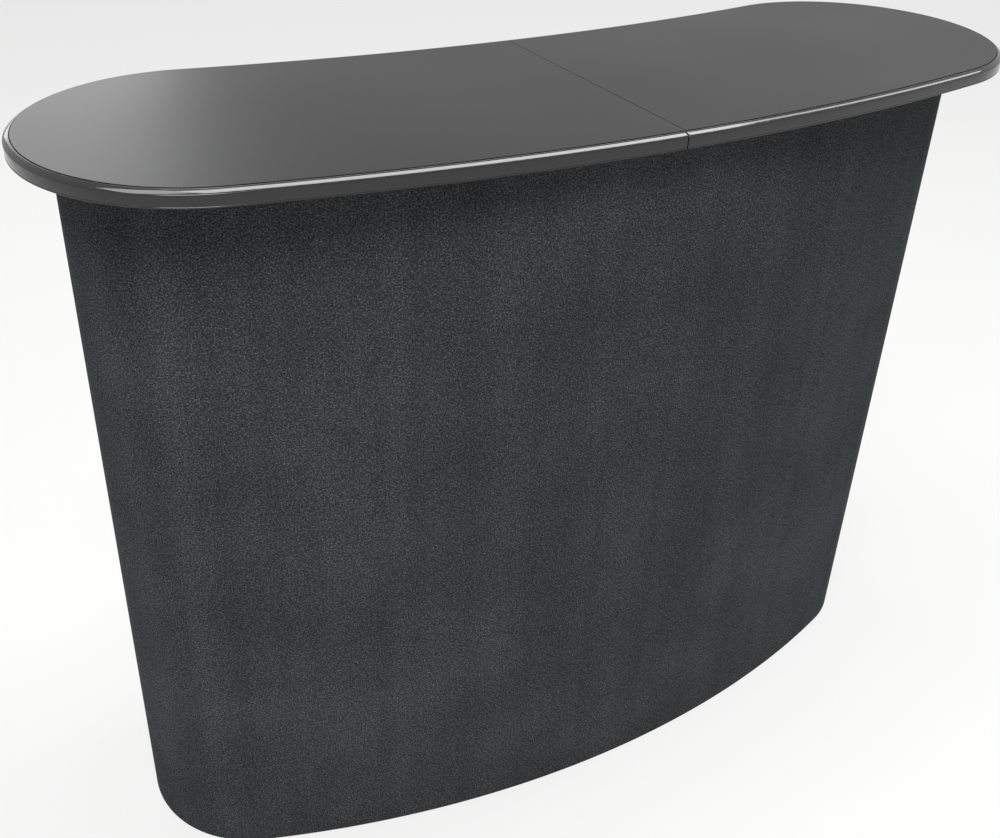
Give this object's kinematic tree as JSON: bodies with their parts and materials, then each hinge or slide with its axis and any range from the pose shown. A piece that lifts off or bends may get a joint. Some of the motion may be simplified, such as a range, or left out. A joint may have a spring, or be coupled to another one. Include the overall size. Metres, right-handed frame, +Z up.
{
  "type": "folding portable bar",
  "caption": "Free-standing folding bar with a kidney-shaped black top hinged at mid-length, a scissor frame that closes sideways, fold-up shelves and a fabric-faced slatted wrap.",
  "frame": {"origin": "on the floor under the middle of the top", "axes": "+X along the bar, to the right as customers see it; -Y towards the customers; +Z up"},
  "size_m": [1.3294, 0.4478, 1],
  "materials": {
    "laminate": "black laminate, satin",
    "edge_moulding": "black extruded edge moulding, gloss",
    "loop_fabric": "charcoal loop-pile fabric",
    "slat_core": "brown hardboard slats",
    "former_ply": "birch plywood, sealed",
    "shelf_ply": "birch plywood, sealed",
    "aluminium": "satin anodised",
    "zinc_steel": "bright zinc plate",
    "black_steel": "black powder coat",
    "black_nylon": "moulded black nylon, satin",
    "rubber": "black rubber strip",
    "brass": "turned brass"
  },
  "bodies": {
    "centre_frame": {"centre_front_post": "aluminium", "centre_back_post": "aluminium", "centre_top_rail": "aluminium", "centre_sled_rail": "black_steel", "centre_glide": "rubber", "centre_pivot_bracket": "black_steel", "top_seat_plate": "black_steel", "centre_shelf_tray": "black_steel", "left_shelf_rod": "zinc_steel", "right_shelf_rod": "zinc_steel", "wrap_front_core": "slat_core", "wrap_front_fabric": "loop_fabric"},
    "left_inner_strut": {"left_inner_strut": "aluminium", "left_cross_pin": "zinc_steel"},
    "left_outer_strut": {"left_outer_strut": "aluminium"},
    "left_frame": {"left_front_post": "aluminium", "left_back_post": "aluminium", "left_top_rail": "aluminium", "left_sled_rail": "black_steel", "left_glide": "rubber", "left_pivot_bracket": "black_steel", "left_shelf_rail": "aluminium"},
    "left_slider": {"left_slider": "black_nylon"},
    "left_shelf": {"left_shelf_board": "shelf_ply", "left_shelf_hinge": "aluminium"},
    "top_left": {"top_left_board": "laminate", "top_left_moulding": "edge_moulding", "top_left_former": "former_ply", "front_hinge_left_barrel": "brass", "back_hinge_left_barrel": "brass", "front_peg": "zinc_steel", "back_peg": "zinc_steel"},
    "left_wing": {"wrap_left_core": "slat_core", "wrap_left_fabric": "loop_fabric", "wrap_left_batten": "black_nylon"},
    "right_inner_strut": {"right_inner_strut": "aluminium", "right_cross_pin": "zinc_steel"},
    "right_outer_strut": {"right_outer_strut": "aluminium"},
    "right_frame": {"right_front_post": "aluminium", "right_back_post": "aluminium", "right_top_rail": "aluminium", "right_sled_rail": "black_steel", "right_glide": "rubber", "right_pivot_bracket": "black_steel", "right_shelf_rail": "aluminium"},
    "right_slider": {"right_slider": "black_nylon"},
    "right_shelf": {"right_shelf_board": "shelf_ply", "right_shelf_hinge": "aluminium"},
    "top_right": {"top_right_board": "laminate", "top_right_moulding": "edge_moulding", "top_right_former": "former_ply", "front_hinge_right_barrel": "brass", "back_hinge_right_barrel": "brass"},
    "right_wing": {"wrap_right_core": "slat_core", "wrap_right_fabric": "loop_fabric", "wrap_right_batten": "black_nylon"},
    "centre_slider": {"centre_slider": "black_nylon"},
    "clamp_knob": {"clamp_knob": "black_nylon"}
  },
  "joints": [
    {"name": "frame_fold", "type": "hinge", "parent": "centre_frame", "child": "left_inner_strut", "pos_m": [-0.01385, -0.14499, 0.095], "axis": [0.1435, 0.9896, 0], "range_deg": [0, 26.08]},
    {"name": "left_strut_cross", "type": "hinge", "parent": "left_inner_strut", "child": "left_outer_strut", "pos_m": [-0.22193, -0.11482, 0.45174], "axis": [0.1435, 0.9896, 0], "range_deg": [-52.16, 0]},
    {"name": "left_frame_pivot", "type": "hinge", "parent": "left_outer_strut", "child": "left_frame", "pos_m": [-0.43, -0.08464, 0.095], "axis": [0.1435, 0.9896, 0], "range_deg": [0, 26.08]},
    {"name": "left_slider_pivot", "type": "hinge", "parent": "left_inner_strut", "child": "left_slider", "pos_m": [-0.43, -0.08464, 0.80848], "axis": [0.1435, 0.9896, 0], "range_deg": [-26.08, 0]},
    {"name": "centre_slider_pivot", "type": "hinge", "parent": "left_outer_strut", "child": "centre_slider", "pos_m": [-0.01385, -0.14499, 0.80848], "axis": [0.1435, 0.9896, 0], "range_deg": [0, 26.08]},
    {"name": "right_bay_fold", "type": "hinge", "parent": "centre_frame", "child": "right_inner_strut", "pos_m": [0.01385, -0.14499, 0.095], "axis": [0.1435, -0.9896, 0], "range_deg": [0, 26.08]},
    {"name": "right_strut_cross", "type": "hinge", "parent": "right_inner_strut", "child": "right_outer_strut", "pos_m": [0.22193, -0.11482, 0.45174], "axis": [0.1435, -0.9896, 0], "range_deg": [-52.16, 0]},
    {"name": "right_frame_pivot", "type": "hinge", "parent": "right_outer_strut", "child": "right_frame", "pos_m": [0.43, -0.08464, 0.095], "axis": [0.1435, -0.9896, 0], "range_deg": [0, 26.08]},
    {"name": "right_slider_pivot", "type": "hinge", "parent": "right_inner_strut", "child": "right_slider", "pos_m": [0.43, -0.08464, 0.80848], "axis": [0.1435, -0.9896, 0], "range_deg": [-26.08, 0]},
    {"name": "clamp_knob_turn", "type": "hinge", "parent": "centre_slider", "child": "clamp_knob", "pos_m": [0, -0.147, 0.80848], "axis": [0, 1, 0], "range_deg": [0, 360]},
    {"name": "left_shelf_fold", "type": "hinge", "parent": "centre_frame", "child": "left_shelf", "pos_m": [-0.03, 0, 0.424], "axis": [0, 1, 0], "range_deg": [0, 90]},
    {"name": "right_shelf_fold", "type": "hinge", "parent": "centre_frame", "child": "right_shelf", "pos_m": [0.03, 0, 0.424], "axis": [0, -1, 0], "range_deg": [0, 90]},
    {"name": "top_lift", "type": "slide", "parent": "centre_frame", "child": "top_left", "axis": [0, 0, 1], "range_m": [0, 0.15]},
    {"name": "top_fold", "type": "hinge", "parent": "top_left", "child": "top_right", "pos_m": [0, 0, 1.0005], "axis": [0, -1, 0], "range_deg": [0, 180]},
    {"name": "left_wing_open", "type": "hinge", "parent": "centre_frame", "child": "left_wing", "pos_m": [-0.51334, -0.10072, 0], "axis": [0, 0, 1], "range_deg": [0, 80]},
    {"name": "right_wing_open", "type": "hinge", "parent": "centre_frame", "child": "right_wing", "pos_m": [0.51334, -0.10072, 0], "axis": [0, 0, -1], "range_deg": [0, 80]}
  ],
  "couplings": [
    {"joint": "left_strut_cross", "follows": "frame_fold", "ratio": -2},
    {"joint": "left_frame_pivot", "follows": "frame_fold", "ratio": 1},
    {"joint": "left_slider_pivot", "follows": "frame_fold", "ratio": -1},
    {"joint": "centre_slider_pivot", "follows": "frame_fold", "ratio": 1},
    {"joint": "right_bay_fold", "follows": "frame_fold", "ratio": 1},
    {"joint": "right_strut_cross", "follows": "frame_fold", "ratio": -2},
    {"joint": "right_frame_pivot", "follows": "frame_fold", "ratio": 1},
    {"joint": "right_slider_pivot", "follows": "frame_fold", "ratio": -1}
  ]
}
